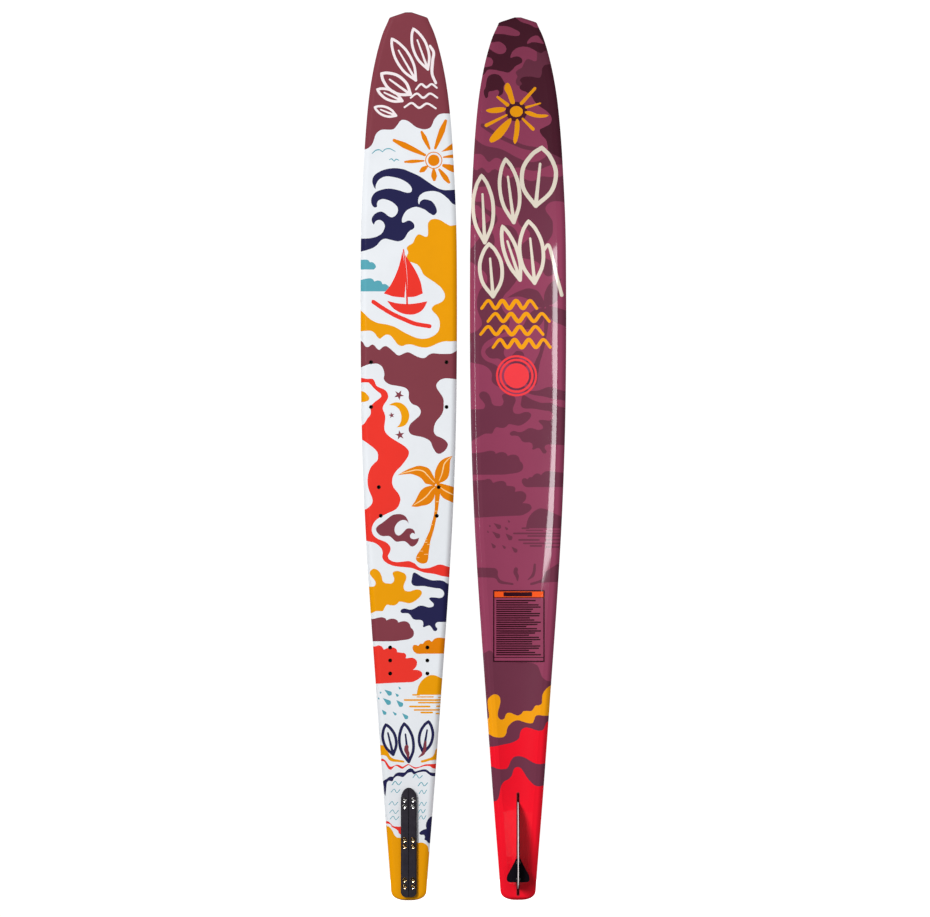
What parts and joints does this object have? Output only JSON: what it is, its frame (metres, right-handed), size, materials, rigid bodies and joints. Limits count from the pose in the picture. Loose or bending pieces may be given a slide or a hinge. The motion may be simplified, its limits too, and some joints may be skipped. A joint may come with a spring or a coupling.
{
  "type": "water ski pair",
  "caption": "Upright pair of slalom water skis, one showing its printed deck and one its tunnelled base, with binding inserts and adjustable fins.",
  "frame": {"origin": "centre of ski A's front binding inserts, on the deck", "axes": "+Z from tail to tip, -Y out of ski A's deck and out of ski B's base, +X from ski A to ski B"},
  "size_m": [0.3954, 0.1446, 1.702],
  "materials": {
    "printed_deck": "glossy printed top sheet in white, maroon, gold, red, navy and teal",
    "printed_base": "glossy printed base in two tones of maroon, with a red tail",
    "foam_core": "closed-cell foam",
    "slot_liner": "moulded black",
    "brass_insert": "turned brass",
    "anodised_block": "black anodised, satin",
    "stainless_screw": "stainless steel",
    "fin_alloy": "brushed",
    "wing_black": "black anodised, satin"
  },
  "bodies": {
    "ski_a": {"ski_a_top_sheet": "printed_deck", "ski_a_base_shell": "printed_base", "ski_a_foam_core": "foam_core", "ski_a_slot_liner": "slot_liner", "ski_a_front_inserts": "brass_insert", "ski_a_rear_inserts": "brass_insert", "ski_a_toe_inserts": "brass_insert", "ski_a_block_inserts": "brass_insert", "ski_a_block_left": "anodised_block", "ski_a_block_right": "anodised_block", "ski_a_block_screws": "stainless_screw", "ski_a_set_screws": "stainless_screw"},
    "fin_a": {"ski_a_fin": "fin_alloy"},
    "wing_a": {"ski_a_wing_left": "wing_black", "ski_a_wing_right": "wing_black", "ski_a_wing_screws": "stainless_screw", "ski_a_wing_nuts": "stainless_screw"},
    "ski_b": {"ski_b_top_sheet": "printed_deck", "ski_b_base_shell": "printed_base", "ski_b_foam_core": "foam_core", "ski_b_slot_liner": "slot_liner", "ski_b_front_inserts": "brass_insert", "ski_b_rear_inserts": "brass_insert", "ski_b_toe_inserts": "brass_insert", "ski_b_block_inserts": "brass_insert", "ski_b_block_left": "anodised_block", "ski_b_block_right": "anodised_block", "ski_b_block_screws": "stainless_screw", "ski_b_set_screws": "stainless_screw"},
    "fin_b": {"ski_b_fin": "fin_alloy"},
    "wing_b": {"ski_b_wing_left": "wing_black", "ski_b_wing_right": "wing_black", "ski_b_wing_screws": "stainless_screw", "ski_b_wing_nuts": "stainless_screw"}
  },
  "joints": [
    {"name": "ski_b_lift", "type": "slide", "parent": "ski_a", "child": "ski_b", "axis": [0, 0, 1], "range_m": [0, 0.2]},
    {"name": "fin_a_slide", "type": "slide", "parent": "ski_a", "child": "fin_a", "axis": [0, 0, 1], "range_m": [-0.005, 0.005]},
    {"name": "wing_a_pitch", "type": "hinge", "parent": "fin_a", "child": "wing_a", "pos_m": [0, 0.0492, -0.917], "axis": [1, 0, 0], "range_deg": [-4, 4]},
    {"name": "fin_b_slide", "type": "slide", "parent": "ski_b", "child": "fin_b", "axis": [0, 0, 1], "range_m": [-0.005, 0.005]},
    {"name": "wing_b_pitch", "type": "hinge", "parent": "fin_b", "child": "wing_b", "pos_m": [0.21, -0.0252, -0.917], "axis": [-1, 0, 0], "range_deg": [-4, 4]}
  ]
}
